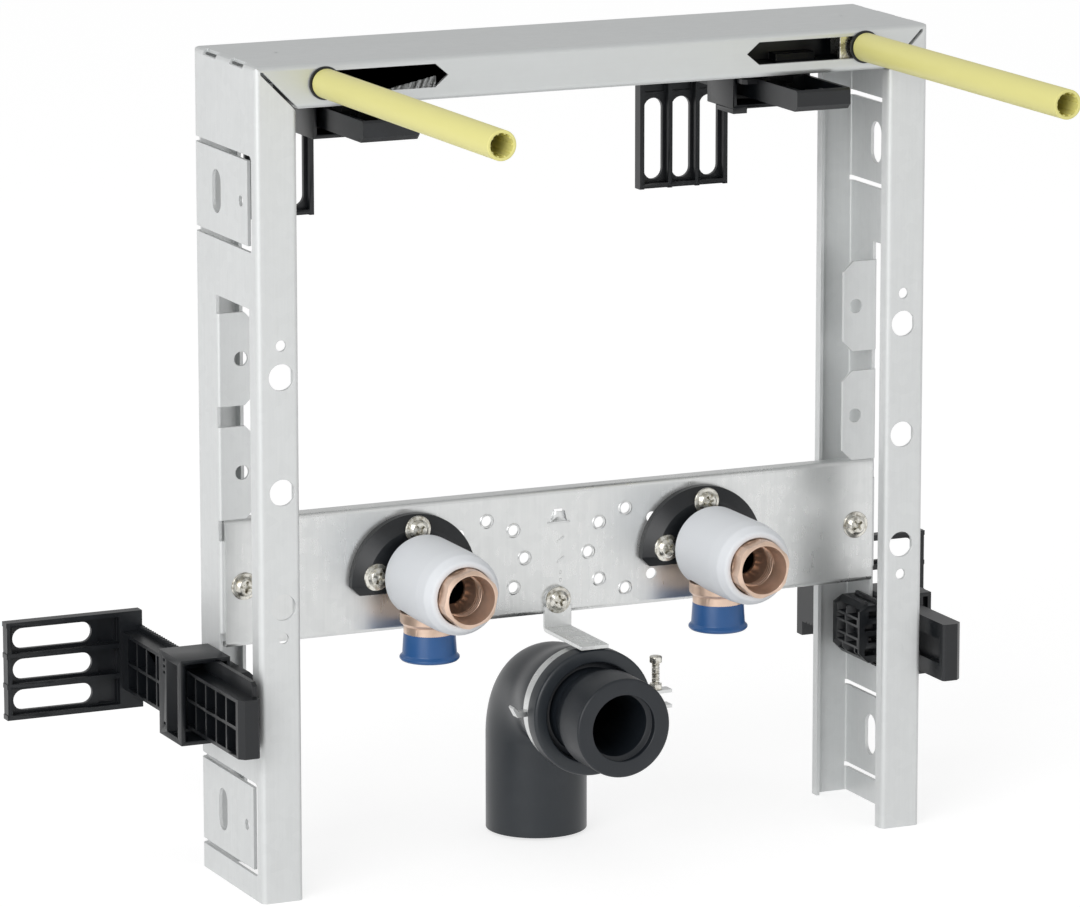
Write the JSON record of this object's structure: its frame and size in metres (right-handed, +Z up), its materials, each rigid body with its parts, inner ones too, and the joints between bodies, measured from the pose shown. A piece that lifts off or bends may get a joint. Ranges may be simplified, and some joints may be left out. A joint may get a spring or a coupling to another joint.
{
  "type": "basin installation frame",
  "caption": "Low galvanised sheet portal for hanging a washbasin, with crossbar, tap elbows, waste bend, basin studs and sliding wall anchors.",
  "frame": {"origin": "on the floor, under the middle of the whole outline", "axes": "+X to the right seen from the room, +Y to the wall, +Z up"},
  "size_m": [0.5028, 0.3486, 0.4],
  "materials": {
    "galvanised": "galvanised sheet, light spangle, cut edges bright",
    "zinc_screw": "zinc-plated steel",
    "brass": "machined red brass",
    "white_foam": "smooth white insulation",
    "black_plastic": "moulded, fine grain",
    "grey_pipe": "drawn pipe, satin",
    "rubber": "moulded seal, satin",
    "blue_plastic": "protective cap",
    "yellow_plastic": "pale protective tube"
  },
  "bodies": {
    "frame": {"left_upright": "galvanised", "right_upright": "galvanised", "top_rail": "galvanised", "crossbar": "galvanised", "crossbar_screw_left": "zinc_screw", "tap_elbow_left": "brass", "elbow_sleeve_left": "white_foam", "elbow_flange_left": "black_plastic", "elbow_screws_left": "zinc_screw", "elbow_cap_left": "blue_plastic", "rail_guide_left": "black_plastic", "crossbar_screw_right": "zinc_screw", "tap_elbow_right": "brass", "elbow_sleeve_right": "white_foam", "elbow_flange_right": "black_plastic", "elbow_screws_right": "zinc_screw", "elbow_cap_right": "blue_plastic", "rail_guide_right": "black_plastic", "waste_bend": "grey_pipe", "waste_seal": "rubber", "waste_clamp": "galvanised", "waste_clamp_screw": "zinc_screw", "waste_bracket": "galvanised", "waste_bracket_screw": "zinc_screw", "anchor_holder_lower_left": "black_plastic", "anchor_holder_lower_right": "black_plastic", "anchor_holder_upper_left": "black_plastic", "anchor_holder_upper_right": "black_plastic"},
    "anchor_lower_left": {"wall_anchor_lower_left": "black_plastic"},
    "anchor_lower_right": {"wall_anchor_lower_right": "black_plastic"},
    "anchor_upper_left": {"wall_anchor_upper_left": "black_plastic"},
    "anchor_upper_right": {"wall_anchor_upper_right": "black_plastic"},
    "stud_left": {"basin_stud_left": "zinc_screw", "stud_tube_left": "yellow_plastic", "stud_slide_left": "zinc_screw"},
    "stud_right": {"basin_stud_right": "zinc_screw", "stud_tube_right": "yellow_plastic", "stud_slide_right": "zinc_screw"}
  },
  "joints": [
    {"name": "anchor_lower_left_slide", "type": "slide", "parent": "frame", "child": "anchor_lower_left", "axis": [0, 1, 0], "range_m": [-0.055, 0.04]},
    {"name": "anchor_lower_right_slide", "type": "slide", "parent": "frame", "child": "anchor_lower_right", "axis": [0, 1, 0], "range_m": [-0.055, 0.04]},
    {"name": "anchor_upper_left_slide", "type": "slide", "parent": "frame", "child": "anchor_upper_left", "axis": [0, 1, 0], "range_m": [-0.055, 0.04]},
    {"name": "anchor_upper_right_slide", "type": "slide", "parent": "frame", "child": "anchor_upper_right", "axis": [0, 1, 0], "range_m": [-0.055, 0.04]},
    {"name": "stud_left_slide", "type": "slide", "parent": "frame", "child": "stud_left", "axis": [1, 0, 0], "range_m": [0, 0.0503]},
    {"name": "stud_right_slide", "type": "slide", "parent": "frame", "child": "stud_right", "axis": [-1, 0, 0], "range_m": [0, 0.0503]}
  ]
}
